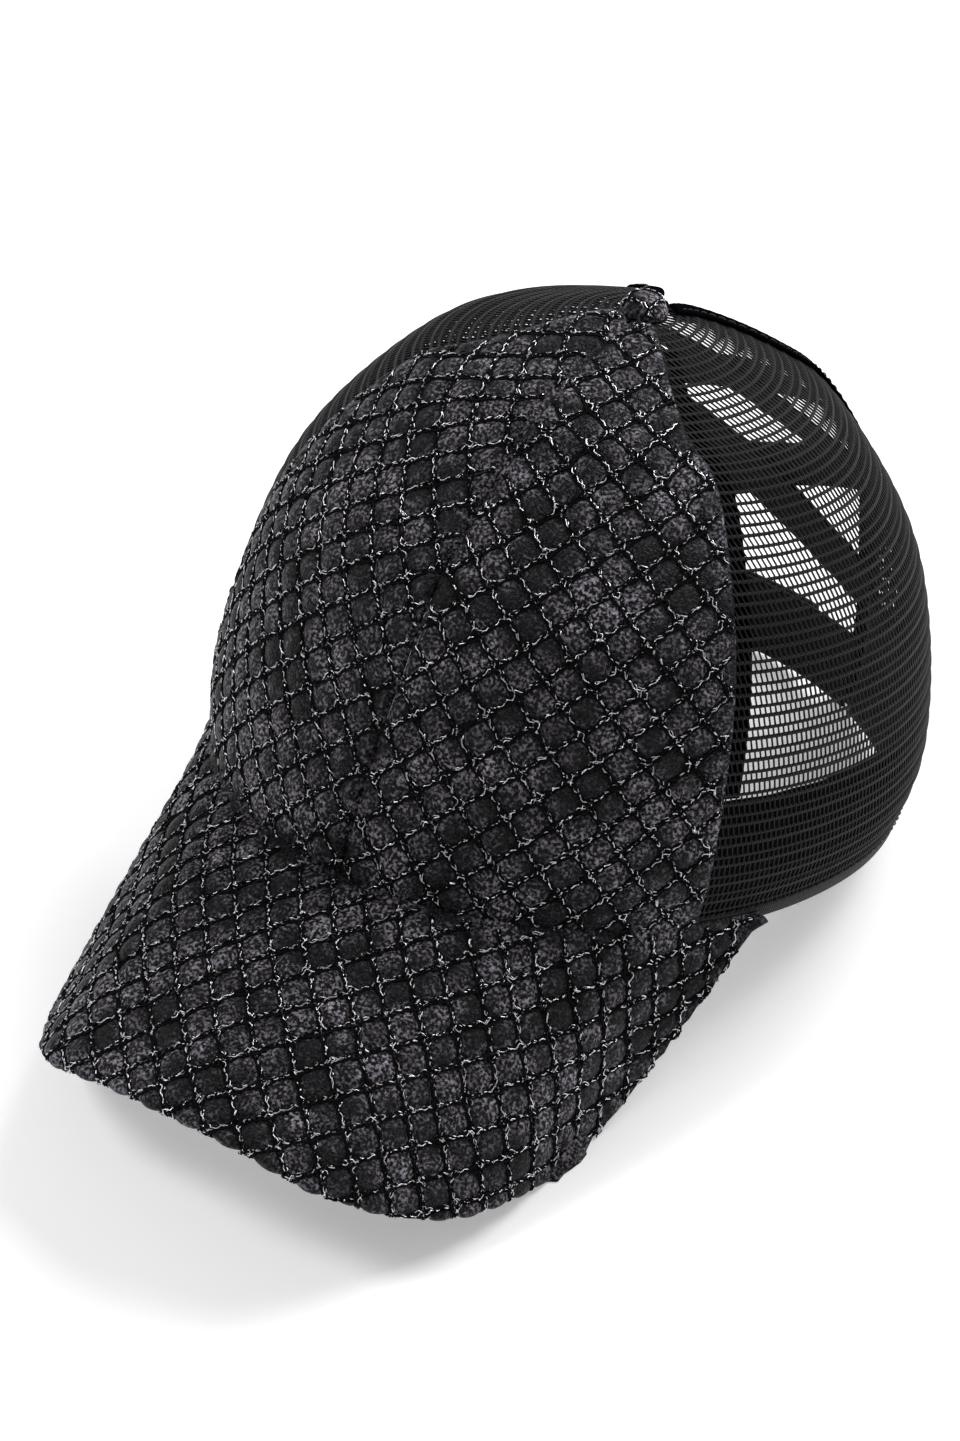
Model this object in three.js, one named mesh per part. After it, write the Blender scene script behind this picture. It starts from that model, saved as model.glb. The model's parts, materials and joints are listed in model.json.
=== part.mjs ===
// Ponytail baseball cap, in millimetres: +Z up, the peak towards -Y, the wearer's left towards +X.
// Everything is worked out with the rim level, as the cap is worn, and then leaned back until the peak's
// corners and the rear of the rim both touch the surface that the cap lies on.
import * as THREE from 'three';

const rad = THREE.MathUtils.degToRad;

// crown
const crown_height = 134;        // rim to the top of the dome
const front_length = 108;        // rim centre to the forehead
const back_length = 94;          // rim centre to the back of the head
const half_width = 90.5;         // rim centre to either side
const top_offset = 1.5;          // the dome's top lies this far behind the rim's centre
const eye_radius = 3;            // hole under the button where the panels meet
const leather_wall = 1.6;        // faux leather with the net on it
const mesh_wall = 1.0;
const seam_gap = 0.3;            // clearance between neighbouring pieces
const front_seam_angle = 60;     // centre front to the front seam, at the rim
const opening_half_angle = 29;   // half of the gore left open at the back, at its widest

// peak
const peak_reach = 66;           // forehead to the peak's front edge
const peak_half_width = 76;
const peak_drop = 60;            // rim to the lowest stretch of the peak's edge
const peak_end_angle = 71;       // centre front to where the peak ends on the rim
const peak_end_reach = 2.5;
const peak_wall = 3.0;
const peak_crown = 4.2;          // how far the peak's top bulges between rim and edge
const peak_crown_fade = 6;       // power with which the bulge fades towards the peak's ends
const peak_seat_centre = 3.6;    // the peak's top meets the crown this far above the rim, at the front
const peak_seat_end = 2.2;

// inner band, tapes and bindings
const sweatband_height = 38;
const sweatband_wall = 1.4;
const sweatband_depth = 2.0;     // the crown's outside to the band's outside
const tape_width = 12;
const tape_wall = 0.8;
const tape_start = 1;             // above the sweatband
const tape_end = 2;               // below the dome's top
const binding_wall = 0.8;
const binding_leg = 5;           // how far the binding covers the mesh on each side
const binding_top_radius = 8.5;  // where both bindings end, measured from the dome's top

// straps and closure
const strap_width = 15;
const strap_wall = 1.1;
const strap_layer_gap = 0.4;     // between straps where they cross
const tuck_gap = 0.4;            // under the binding, over what is tucked there
const strap_tuck = 8;            // length of a strap's end under the binding
const strap_sag = 5.5;           // a taut strap lies this far inside the dome at its middle
const strap_rise = 3;            // and bows this far towards the dome's top
const strap_anchors = { low: 42, middle: 84, high: 115 };   // heights above the rim
const tab_height = 21;
const tab_wall = 1.3;
const tab_lift = 1.5;            // rim to the tabs' lower edge
const tab_overlap = 20;          // each tab passes the centre back by this much
const tab_flat = 8;              // straight stretch at the centre back

// button
const button_radius = 6.5;
const button_height = 5;
const button_seat = 0.4;         // clearance between the button and the crown
const button_fullness = 0.8;     // 1 for a round button, less for a fuller one
const shank_radius = 2;
const shank_length = 4;

// facets
const panel_rows = 16;
const front_panel_columns = 11;
const mesh_panel_columns = 15;
const peak_columns = 30;
const peak_rows = 8;
const band_columns = 46;
const band_rows = 3;
const strap_steps = 14;
const strap_rows = 3;
const tape_columns = 2;
const tab_steps = 6;
const button_rings = 6;
const button_sides = 20;
const search_rounds = 40;        // halvings and leans until a place is exact

// The crown's level sections, as shares of crown_height, front_length, back_length and half_width.
const crown_rows = [
  { height: 0.000, front: 1.000, back: 1.000, side: 1.000 },
  { height: 0.163, front: 0.970, back: 1.020, side: 1.050 },
  { height: 0.415, front: 0.868, back: 0.920, side: 1.018 },
  { height: 0.615, front: 0.759, back: 0.820, side: 0.908 },
  { height: 0.825, front: 0.524, back: 0.600, side: 0.664 },
  { height: 0.900, front: 0.409, back: 0.464, side: 0.452 },
  { height: 0.990, front: 0.135, back: 0.165, side: 0.160 },
  {
    height: 1.000,
    front: eye_radius / front_length,
    back: eye_radius / back_length,
    side: eye_radius / half_width,
  },
];

// Seams on the same rows, as shares of front_seam_angle and opening_half_angle.
const seam_rows = [
  { front_seam: 1.00, opening: 0.72 },
  { front_seam: 0.97, opening: 0.73 },
  { front_seam: 0.95, opening: 0.78 },
  { front_seam: 0.95, opening: 0.87 },
  { front_seam: 0.93, opening: 1.00 },
  { front_seam: 0.90, opening: 1.00 },
  { front_seam: 0.83, opening: 0.75 },
  { front_seam: 0.80, opening: 0.80 },
];

// The peak's edge from its centre to its end, as shares of peak_half_width, peak_reach and peak_drop.
const peak_edge_rows = [
  { across: 0.000, reach: 1.00, drop: 0.70 },
  { across: 0.270, reach: 0.95, drop: 0.74 },
  { across: 0.584, reach: 0.86, drop: 0.83 },
  { across: 0.807, reach: 0.53, drop: 0.98 },
  { across: 0.946, reach: 0.16, drop: 1.00 },
  { across: 0.983, reach: -0.43, drop: 0.89 },
];

// One named column of a table as a smooth curve of share, 0 at the first row and 1 at the last.
function along(rows, column, share) {
  const place = THREE.MathUtils.clamp(share, 0, 1) * (rows.length - 1);
  const row = Math.min(Math.floor(place), rows.length - 2);
  const at = (index) => {
    if (index < 0) return 2 * rows[0][column] - rows[1][column];
    if (index >= rows.length) return 2 * rows.at(-1)[column] - rows.at(-2)[column];
    return rows[index][column];
  };
  const [a, b, c, d] = [at(row - 1), at(row), at(row + 1), at(row + 2)];
  const f = place - row;
  const bend = (2 * a - 5 * b + 4 * c - d) * f ** 2 + (3 * b - a - 3 * c + d) * f ** 3;
  return 0.5 * (2 * b + (c - a) * f + bend);
}

// A point of the crown's outside. The angle runs from the centre front towards the wearer's left.
function crownPoint(angle, share) {
  const length = Math.cos(angle) > 0
    ? front_length * along(crown_rows, 'front', share)
    : back_length * along(crown_rows, 'back', share);
  const rise = along(crown_rows, 'height', share);
  return new THREE.Vector3(
    half_width * along(crown_rows, 'side', share) * Math.sin(angle),
    top_offset * rise - length * Math.cos(angle),
    crown_height * rise,
  );
}

function crownNormal(angle, share) {
  const step = 1e-3;
  const round = crownPoint(angle + step, share).sub(crownPoint(angle - step, share));
  const up = crownPoint(angle, Math.min(share + step, 1)).sub(crownPoint(angle, Math.max(share - step, 0)));
  return round.cross(up).normalize();
}

function crownInside(angle, share, depth) {
  return crownPoint(angle, share).addScaledVector(crownNormal(angle, share), -depth);
}

// The share of the rows at which the crown reaches a height above the rim.
function shareAt(height) {
  let low = 0;
  let high = 1;
  for (let round = 0; round < search_rounds; round += 1) {
    const middle = (low + high) / 2;
    if (crown_height * along(crown_rows, 'height', middle) < height) low = middle;
    else high = middle;
  }
  return low;
}

// The angle at the back where the crown's section lies at a distance beside the centre plane.
function rearAngle(across, share) {
  const side = half_width * along(crown_rows, 'side', share);
  return Math.PI - Math.asin(THREE.MathUtils.clamp(across / side, -1, 1));
}

const frontSeam = (share) => rad(front_seam_angle) * along(seam_rows, 'front_seam', share);
const openingEdge = (share) => Math.PI - rad(opening_half_angle) * along(seam_rows, 'opening', share);

// The angle that a distance along the section takes up.
function turn(distance, angle, share) {
  const point = crownPoint(angle, share);
  return distance / Math.hypot(point.x, point.y - top_offset * along(crown_rows, 'height', share));
}

// Rises from 0 to 1 at the middle of a stretch and falls back to 0 at its end.
const bow = (share) => 4 * share * (1 - share);

// A closed geometry from its corners and triangles, turned so that its faces point out.
function solid(corners, triangles) {
  let volume = 0;
  for (const [a, b, c] of triangles) {
    volume += corners[a].dot(new THREE.Vector3().crossVectors(corners[b], corners[c]));
  }
  const faces = volume > 0 ? triangles : triangles.map(([a, b, c]) => [a, c, b]);
  const geometry = new THREE.BufferGeometry().setFromPoints(corners);
  geometry.setIndex(faces.flat());
  geometry.computeVertexNormals();
  return geometry;
}

// A wall between an outer and an inner sheet, each a grid of points with the same columns and rows.
function wall(outer, inner) {
  const columns = outer.length;
  const rows = outer[0].length;
  const corners = [...outer.flat(), ...inner.flat()];
  const out = (i, j) => i * rows + j;
  const into = (i, j) => columns * rows + i * rows + j;
  const triangles = [];
  const quad = (a, b, c, d) => triangles.push([a, b, c], [a, c, d]);
  for (let i = 0; i < columns - 1; i += 1) {
    for (let j = 0; j < rows - 1; j += 1) {
      quad(out(i, j), out(i + 1, j), out(i + 1, j + 1), out(i, j + 1));
      quad(into(i, j), into(i, j + 1), into(i + 1, j + 1), into(i + 1, j));
    }
    quad(out(i, 0), into(i, 0), into(i + 1, 0), out(i + 1, 0));
    quad(out(i, rows - 1), out(i + 1, rows - 1), into(i + 1, rows - 1), into(i, rows - 1));
  }
  for (let j = 0; j < rows - 1; j += 1) {
    quad(out(0, j), out(0, j + 1), into(0, j + 1), into(0, j));
    quad(out(columns - 1, j), into(columns - 1, j), into(columns - 1, j + 1), out(columns - 1, j + 1));
  }
  return solid(corners, triangles);
}

const grid = (columns, rows, place) => Array.from({ length: columns + 1 }, (_, i) =>
  Array.from({ length: rows + 1 }, (_, j) => place(i / columns, j / rows)));

// A wall on the crown between two depths, for sheet places given as [angle, share].
function crownWall(columns, rows, place, outside, inside) {
  return wall(
    grid(columns, rows, (u, v) => crownInside(...place(u, v), outside)),
    grid(columns, rows, (u, v) => crownInside(...place(u, v), inside)),
  );
}

// A bar through a list of rings, which all have the corners of one outline given as [across, out] pairs.
function bar(rings, outline) {
  const corners = rings.flat();
  const count = outline.length;
  const triangles = [];
  for (let ring = 0; ring < rings.length - 1; ring += 1) {
    for (let k = 0; k < count; k += 1) {
      const next = (k + 1) % count;
      const [a, b] = [ring * count + k, ring * count + next];
      triangles.push([a, b, b + count], [a, b + count, a + count]);
    }
  }
  const cap = THREE.ShapeUtils.triangulateShape(outline.map(([a, b]) => new THREE.Vector2(a, b)), []);
  const last = (rings.length - 1) * count;
  const forward = THREE.ShapeUtils.isClockWise(outline.map(([a, b]) => new THREE.Vector2(a, b)));
  for (const [a, b, c] of cap) {
    triangles.push(forward ? [a, b, c] : [a, c, b]);
    triangles.push(forward ? [last + a, last + c, last + b] : [last + a, last + b, last + c]);
  }
  return solid(corners, triangles);
}

function frontPanel(side) {
  const place = (u, v) => {
    const start = turn(seam_gap / 2, 0, v);
    const end = frontSeam(v) - turn(seam_gap / 2, frontSeam(v), v);
    return [side * THREE.MathUtils.lerp(start, end, u), v];
  };
  return crownWall(front_panel_columns, panel_rows, place, 0, leather_wall);
}

function meshPanel(side) {
  const place = (u, v) => {
    const start = frontSeam(v) + turn(seam_gap / 2, frontSeam(v), v);
    return [side * THREE.MathUtils.lerp(start, openingEdge(v), u), v];
  };
  return crownWall(mesh_panel_columns, panel_rows, place, 0, mesh_wall);
}

// The peak's edge, from the wearer's right end round the front to the left end.
function peakEdge() {
  const end = peakSeat(1).clone();
  const away = new THREE.Vector3(Math.sin(rad(peak_end_angle)), -Math.cos(rad(peak_end_angle)), 0);
  const half = peak_edge_rows.map(({ across, reach, drop }) => new THREE.Vector3(
    across * peak_half_width,
    -front_length - reach * peak_reach,
    -drop * peak_drop,
  ));
  half.push(end.addScaledVector(away, peak_end_reach));
  const mirrored = half.slice(1).reverse().map((point) => new THREE.Vector3(-point.x, point.y, point.z));
  return new THREE.CatmullRomCurve3([...mirrored, ...half], false, 'catmullrom', 0.5);
}

// Where the peak's top, or a level below it, meets the crown. The place runs from -1 at the right end to 1.
function peakSeat(place, below = 0) {
  const height = THREE.MathUtils.lerp(peak_seat_centre, peak_seat_end, place ** 2) - below;
  return crownInside(place * rad(peak_end_angle), shareAt(height), -seam_gap).setZ(height);
}

function peak() {
  const edge = peakEdge();
  const top = grid(peak_columns, peak_rows, (u, v) => {
    const place = 2 * u - 1;
    const point = peakSeat(place).lerp(edge.getPoint(u), v);
    point.z += peak_crown * bow(v) * (1 - place ** peak_crown_fade);
    return point;
  });
  const at = (i, j) => top[THREE.MathUtils.clamp(i, 0, peak_columns)][THREE.MathUtils.clamp(j, 0, peak_rows)];
  const underside = top.map((column, i) => column.map((point, j) => {
    // at the seat the underside follows the crown, so that it clears the wall
    if (j === 0) return peakSeat(2 * (i / peak_columns) - 1, peak_wall);
    const round = at(i + 1, j).clone().sub(at(i - 1, j));
    const away = at(i, j + 1).clone().sub(at(i, j - 1));
    const down = away.cross(round).normalize();
    if (down.z > 0) down.negate();
    return point.clone().addScaledVector(down, peak_wall);
  }));
  return wall(top, underside);
}

function topButton() {
  const profile = [
    new THREE.Vector2(0, -shank_length),
    new THREE.Vector2(shank_radius, -shank_length),
    new THREE.Vector2(shank_radius, button_seat),
    new THREE.Vector2(button_radius, button_seat),
  ];
  for (let ring = 1; ring < button_rings; ring += 1) {
    const lift = (Math.PI / 2) * (ring / button_rings);
    profile.push(new THREE.Vector2(
      button_radius * Math.cos(lift) ** button_fullness,
      button_seat + button_height * Math.sin(lift),
    ));
  }
  profile.push(new THREE.Vector2(0, button_seat + button_height));
  const geometry = new THREE.LatheGeometry(profile, button_sides);
  geometry.rotateX(Math.PI / 2);
  geometry.translate(0, top_offset, crown_height);
  return geometry;
}

// How far beside the centre back something ends that is tucked under the binding at a height.
function tuckedEnd(height) {
  const share = shareAt(height);
  const edge = openingEdge(share);
  return crownPoint(edge - turn(strap_tuck, edge, share), share).x;
}

// The band ends beside the tucked ends of the closure tabs.
function sweatband() {
  const beside = tuckedEnd(tab_lift + tab_height / 2) + 2 * seam_gap;
  const place = (u, v) => {
    const share = shareAt(v * sweatband_height);
    const end = rearAngle(beside, share);
    return [THREE.MathUtils.lerp(-end, end, u), share];
  };
  return crownWall(band_columns, band_rows, place, sweatband_depth, sweatband_depth + sweatband_wall);
}

function seamTape(side) {
  const low = shareAt(sweatband_height + tape_start);
  const high = shareAt(crown_height - tape_end);
  const depth = leather_wall + seam_gap;
  const place = (u, v) => {
    const share = THREE.MathUtils.lerp(low, high, v);
    const half = turn(tape_width / 2, frontSeam(share), share);
    return [side * (frontSeam(share) + THREE.MathUtils.lerp(-half, half, u)), share];
  };
  return crownWall(tape_columns, panel_rows, place, depth, depth + tape_wall);
}

// The folded tape round one edge of the opening, on the same rows as the mesh panel's edge.
function binding(side) {
  const near = seam_gap;
  const far = seam_gap + binding_wall;
  const outline = [
    [-binding_leg, far], [far, far], [far, -mesh_wall - far], [-binding_leg, -mesh_wall - far],
    [-binding_leg, -mesh_wall - near], [near, -mesh_wall - near], [near, near], [-binding_leg, near],
  ];
  const rings = [];
  for (let row = 0; row <= panel_rows; row += 1) {
    const share = row / panel_rows;
    const edge = openingEdge(share);
    const centre = crownPoint(edge, share);
    if (Math.hypot(centre.x, centre.y - top_offset) < binding_top_radius) break;
    rings.push(outline.map(([across, out]) => {
      const angle = edge + turn(across, edge, share);
      return crownInside(side * angle, share, -out);
    }));
  }
  return bar(rings, outline);
}

// How deep a strap's or tab's outside lies where it is tucked under the binding.
const tuck_depth = mesh_wall + seam_gap + binding_wall + seam_gap + tuck_gap;

// A point of the taut sheet that the straps lie in, inside the dome between the opening's edges.
function tautPoint(across, height, depth) {
  const share = shareAt(height);
  const slack = Math.max(0, 1 - (across / tuckedEnd(strap_anchors.middle)) ** 2);
  return crownInside(rearAngle(across, share), share, depth + strap_sag * slack);
}

// A strap across the opening from an anchor on the wearer's right to one on the left.
function crossStrap(right, left, layer) {
  const depth = tuck_depth + layer * (strap_wall + strap_layer_gap);
  const path = (u) => [
    THREE.MathUtils.lerp(-tuckedEnd(right), tuckedEnd(left), u),
    THREE.MathUtils.lerp(right, left, u) + strap_rise * bow(u),
  ];
  const step = 0.01;
  const sheet = (inside) => grid(strap_steps, strap_rows, (u, v) => {
    const [across, height] = path(u);
    const tangent = tautPoint(...path(u + step), inside).sub(tautPoint(...path(u - step), inside));
    const share = shareAt(height);
    const sideways = tangent.cross(crownNormal(rearAngle(across, share), share)).normalize();
    const offset = (0.5 - v) * strap_width;
    return tautPoint(across + offset * sideways.x, height + offset * sideways.z, inside);
  });
  return wall(sheet(depth), sheet(depth + strap_wall));
}

// A closure tab from under one binding to past the centre back, along the rim. It is straight at the centre.
function closureTab(side, layer) {
  const start = tuckedEnd(tab_lift + tab_height / 2);
  const half_flat = tab_flat / 2;
  const stops = [-half_flat, -(half_flat + tab_overlap) / 2, -tab_overlap];
  for (let step = 0; step <= tab_steps; step += 1) {
    stops.unshift(THREE.MathUtils.lerp(half_flat, start, step / tab_steps));
  }
  const place = (u, v) => {
    const share = shareAt(tab_lift + v * tab_height);
    const across = stops[Math.round(u * (stops.length - 1))];
    return [rearAngle(side * across, share), share];
  };
  const depth = tuck_depth + layer * (tab_wall + strap_layer_gap);
  return crownWall(stops.length - 1, strap_rows, place, depth, depth + tab_wall);
}

const leather = { color: 0x141316, roughness: 0.55, metalness: 0 };
const trucker_mesh = { color: 0x17171a, roughness: 0.7, metalness: 0 };
const woven_tape = { color: 0x101013, roughness: 0.8, metalness: 0 };

const worn = new THREE.Group();

function piece(name, geometry, finish) {
  const mesh = new THREE.Mesh(geometry, new THREE.MeshStandardMaterial(finish));
  mesh.name = name;
  worn.add(mesh);
}

for (const [word, side] of [['left', 1], ['right', -1]]) {
  piece(`front_panel_${word}`, frontPanel(side), leather);
  piece(`mesh_panel_${word}`, meshPanel(side), trucker_mesh);
  piece(`seam_tape_${word}`, seamTape(side), woven_tape);
  piece(`binding_${word}`, binding(side), woven_tape);
}
piece('peak', peak(), leather);
piece('top_button', topButton(), leather);
piece('sweatband', sweatband(), woven_tape);

const { low, middle, high } = strap_anchors;
piece('cross_strap_1', crossStrap(low, middle, 0), woven_tape);
piece('cross_strap_2', crossStrap(middle, low, 1), woven_tape);
piece('cross_strap_3', crossStrap(middle, high, 0), woven_tape);
piece('cross_strap_4', crossStrap(high, middle, 1), woven_tape);
piece('closure_tab_outer', closureTab(-1, 0), woven_tape);
piece('closure_tab_inner', closureTab(1, 1), woven_tape);

// Every corner of every piece, as the cap is worn.
function wornCorners() {
  return worn.children.flatMap((mesh) => {
    const places = mesh.geometry.getAttribute('position');
    return Array.from({ length: places.count }, (_, i) => new THREE.Vector3().fromBufferAttribute(places, i));
  });
}

// How far the cap leans back until its peak and the rear of its rim are equally low.
function restingLean(corners) {
  let lean = 0;
  for (let round = 0; round < search_rounds; round += 1) {
    const lowest = (points) => points.reduce((best, point) =>
      (point.z * Math.cos(lean) - point.y * Math.sin(lean)
        < best.z * Math.cos(lean) - best.y * Math.sin(lean) ? point : best));
    const front = lowest(corners.filter((point) => point.y < 0));
    const rear = lowest(corners.filter((point) => point.y > 0));
    lean = Math.atan2(rear.z - front.z, rear.y - front.y);
  }
  return lean;
}

const corners = wornCorners();
worn.rotation.x = -restingLean(corners);
worn.updateMatrix();
const box = new THREE.Box3().setFromPoints(corners.map((point) => point.clone().applyMatrix4(worn.matrix)));
const centre = box.getCenter(new THREE.Vector3());
worn.position.set(-centre.x, -centre.y, -box.min.z);

const cap = new THREE.Group();
cap.add(worn);

export default cap;
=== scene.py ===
import json
import math
from bisect import bisect_right
from functools import lru_cache

import bmesh
import bpy
import numpy as np
from bpy.props import FloatProperty, FloatVectorProperty, PointerProperty
from mathutils import Matrix, Vector, noise
from mathutils.bvhtree import BVHTree
from mathutils.geometry import barycentric_transform


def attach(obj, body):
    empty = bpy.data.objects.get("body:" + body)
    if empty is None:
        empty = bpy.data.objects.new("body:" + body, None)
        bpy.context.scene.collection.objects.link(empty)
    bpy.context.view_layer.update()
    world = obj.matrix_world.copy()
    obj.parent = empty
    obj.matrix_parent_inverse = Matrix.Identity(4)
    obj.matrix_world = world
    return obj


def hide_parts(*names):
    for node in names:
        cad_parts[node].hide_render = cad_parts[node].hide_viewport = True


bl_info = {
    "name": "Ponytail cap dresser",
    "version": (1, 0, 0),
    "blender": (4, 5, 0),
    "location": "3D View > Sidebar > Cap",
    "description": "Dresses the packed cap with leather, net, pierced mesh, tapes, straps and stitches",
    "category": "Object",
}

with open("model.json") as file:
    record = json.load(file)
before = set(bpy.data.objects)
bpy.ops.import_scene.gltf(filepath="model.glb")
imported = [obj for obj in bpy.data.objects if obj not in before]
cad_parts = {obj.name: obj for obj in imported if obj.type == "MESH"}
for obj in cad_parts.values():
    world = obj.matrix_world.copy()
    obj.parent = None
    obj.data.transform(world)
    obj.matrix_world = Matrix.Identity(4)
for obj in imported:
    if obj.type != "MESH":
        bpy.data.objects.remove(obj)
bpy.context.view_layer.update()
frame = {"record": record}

MM = 0.001
SQRT2 = math.sqrt(2)

# The sizes that the cap is cut to, in metres, with the rim level as it is worn: -Y is the peak's side.
CROWN_HEIGHT = 134 * MM
FRONT_LENGTH = 108 * MM
BACK_LENGTH = 94 * MM
HALF_WIDTH = 90.5 * MM
TOP_OFFSET = 1.5 * MM
EYE_RADIUS = 3 * MM
LEATHER_WALL = 1.6 * MM
MESH_WALL = 1.0 * MM
SEAM_GAP = 0.3 * MM
FRONT_SEAM_ANGLE = math.radians(60)
OPENING_HALF_ANGLE = math.radians(29)

PEAK_REACH = 66 * MM
PEAK_HALF_WIDTH = 76 * MM
PEAK_DROP = 60 * MM
PEAK_END_ANGLE = math.radians(71)
PEAK_END_REACH = 2.5 * MM
PEAK_WALL = 3.0 * MM
PEAK_CROWN = 4.2 * MM
PEAK_CROWN_FADE = 6
PEAK_SEAT_CENTRE = 3.6 * MM
PEAK_SEAT_END = 2.2 * MM
PEAK_BLUNT_FROM = 0.97
PEAK_BLUNT = 0.5

SWEATBAND_HEIGHT = 38 * MM
SWEATBAND_WALL = 1.4 * MM
SWEATBAND_DEPTH = 2.0 * MM
TAPE_WIDTH = 12 * MM
TAPE_WALL = 0.8 * MM
TAPE_START = 1 * MM
TAPE_END = 2 * MM
BINDING_WALL = 0.8 * MM
BINDING_LEG = 5 * MM
BINDING_TOP_RADIUS = 8.5 * MM

STRAP_WIDTH = 15 * MM
STRAP_WALL = 1.1 * MM
STRAP_LAYER_GAP = 0.4 * MM
TUCK_GAP = 0.4 * MM
STRAP_TUCK = 8 * MM
STRAP_SAG = 5.5 * MM
STRAP_RISE = 3 * MM
STRAP_ANCHORS = {"low": 42 * MM, "middle": 84 * MM, "high": 115 * MM}
TAB_HEIGHT = 21 * MM
TAB_WALL = 1.3 * MM
TAB_LIFT = 1.5 * MM
TAB_OVERLAP = 20 * MM
TAB_FLAT = 8 * MM

BUTTON_RADIUS = 6.5 * MM
BUTTON_HEIGHT = 5 * MM
BUTTON_SEAT = 0.4 * MM
BUTTON_FULLNESS = 0.8
BUTTON_STEPS = 14
SHANK_RADIUS = 2 * MM
SHANK_LENGTH = 4 * MM

# The crown's level sections, as shares of its height, front length, back length and half width.
CROWN_ROWS = {
    "height": (0.000, 0.163, 0.415, 0.615, 0.825, 0.900, 0.990, 1.000),
    "front": (1.000, 0.970, 0.868, 0.759, 0.524, 0.409, 0.135, EYE_RADIUS / FRONT_LENGTH),
    "back": (1.000, 1.020, 0.920, 0.820, 0.600, 0.464, 0.165, EYE_RADIUS / BACK_LENGTH),
    "side": (1.000, 1.050, 1.018, 0.908, 0.664, 0.452, 0.160, EYE_RADIUS / HALF_WIDTH),
}

# Seams on the same rows, as shares of the front seam's angle and the opening's half angle.
SEAM_ROWS = {
    "front_seam": (1.00, 0.97, 0.95, 0.95, 0.93, 0.90, 0.83, 0.80),
    "opening": (0.72, 0.73, 0.78, 0.87, 1.00, 1.00, 0.75, 0.80),
}

# The peak's edge from its centre to its end, as shares of its half width, reach and drop.
PEAK_EDGE_ROWS = (
    (0.000, 1.00, 0.70),
    (0.270, 0.95, 0.74),
    (0.584, 0.86, 0.83),
    (0.807, 0.53, 0.98),
    (0.946, 0.16, 1.00),
    (0.983, -0.43, 0.89),
)

# The rim's mount gives where the worn cap comes to lie and how far it leans back.
rim_mount = next(mount for mount in frame["record"]["mounts"] if mount["name"] == "head_opening")
LEAN = math.atan2(-rim_mount["axis"][1], -rim_mount["axis"][2])
SETTLE = Matrix.Translation(Vector(rim_mount["pos_m"])) @ Matrix.Rotation(-LEAN, 4, "X")

# The photograph's view of the lying cap.
VIEW_AZIMUTH = math.radians(37.92)
VIEW_ELEVATION = math.radians(43.03)
VIEW_ROLL = math.radians(-3.20)
VIEW_DISTANCE = 2.517
VIEW_TARGET = Vector((-0.00537, 0.01103, 0.06125))
VIEW_LENS_MM = 234.7
VIEW_SENSOR_MM = 36

# How the cloths are cut and laid. A cloth sinks a little into the solid that it dresses.
FRONT_GRAIN = math.radians(28)
MESH_GRAIN = math.radians(106)
BINDING_GRAIN = math.radians(155)
FRONT_MEETING = 0.02 * MM
CLOTH_SINK = 0.2 * MM
MESH_REACH = 95 * MM
TAPE_HOLLOW = 0.3 * MM
PUCKERS = 54
PUCKER_DEPTH = 0.05 * MM
RIPPLES = 31
RIPPLE_DEPTH = 0.25 * MM
SWEATBAND_PLAY = 0.3 * MM
SEAM_DIP = 2.4 * MM
SEAM_LAP = 1.6 * MM
NET_DRIFT_CELLS = 2.6
FRONT_NET_REACH = 230 * MM
PEAK_NET_REACH = 190 * MM
WEAK_RIB = 0.45
FLOOR_PLAY = 0.01 * MM
JOIN = 1e-6
STEPS = 96
SIDES = {"left": 1, "right": -1}
HEAD_CENTRE = Vector((0, 0, 50 * MM))

# The net strays from an even lattice in the same way in every run.
NET_SEED = 11
noise.seed_set(NET_SEED)


def linear(colour):
    """An sRGB hex colour as linear red, green and blue."""
    channels = [int(colour[place:place + 2], 16) / 255 for place in (1, 3, 5)]
    return tuple(c / 12.92 if c <= 0.04045 else ((c + 0.055) / 1.055) ** 2.4 for c in channels)


def size_property(name, description, default):
    return FloatProperty(name=name, description=description, default=default, unit="LENGTH", precision=5)


def light_property(name, description, default, unit="NONE"):
    return FloatProperty(name=name, description=description, default=default, unit=unit, min=0)


def colour_property(name, description, colour):
    return FloatVectorProperty(
        name=name, description=description, default=linear(colour), subtype="COLOR", min=0, max=1)


class CAP_PG_leather(bpy.types.PropertyGroup):
    puff: size_property("Puff", "How far the leather swells in each cell of the net", 1.9 * MM)
    pinch: size_property("Pinch", "How deep the net pulls the leather in", 0.9 * MM)
    thickness: size_property("Thickness", "Thickness of the coated cloth", 0.9 * MM)
    groove: size_property("Groove", "Depth of the seams between panels", 1.0 * MM)
    crackle: size_property("Crackle", "Width of one flake of the crackled coating", 1.1 * MM)
    # Painted sheen: the flakes in random patches of this width take a grey in the coating's colour.
    patch: size_property("Patch", "Width of a rubbed patch of the coating", 15 * MM)
    colour: colour_property("Colour", "Coating", "#0c0a0d")
    # Painted sheen: this grey on the flakes stands in for their glints.
    painted_sheen_colour: colour_property("Worn colour", "Flakes where the coating is rubbed", "#a8a1ad")


class CAP_PG_net(bpy.types.PropertyGroup):
    cell: size_property("Cell", "Side of one cell of the net", 9.0 * MM)
    height: size_property("Height", "How high the net lies over the crown's shape", 0.15 * MM)
    yarn: size_property("Yarn", "Radius of one black yarn", 0.3 * MM)
    apart: size_property("Apart", "Distance between the two yarns of a band, midway between knots", 0.8 * MM)
    filament: size_property("Filament", "Radius of the silver filament", 0.15 * MM)
    wind: size_property("Wind", "Length of one turn of the filament round its yarn", 4.0 * MM)
    weave: size_property("Weave", "How far a band rises over the one it crosses", 0.2 * MM)
    knot: size_property("Knot", "How far each yarn leaves its fellow at the knots", 0.65 * MM)
    wander: size_property("Wander", "How far the cells stray from an even lattice", 0.8 * MM)
    colour: colour_property("Yarn colour", "Black yarn", "#0b0a0c")
    silver: colour_property("Silver", "Metallised filament", "#e8e8f0")


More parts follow.
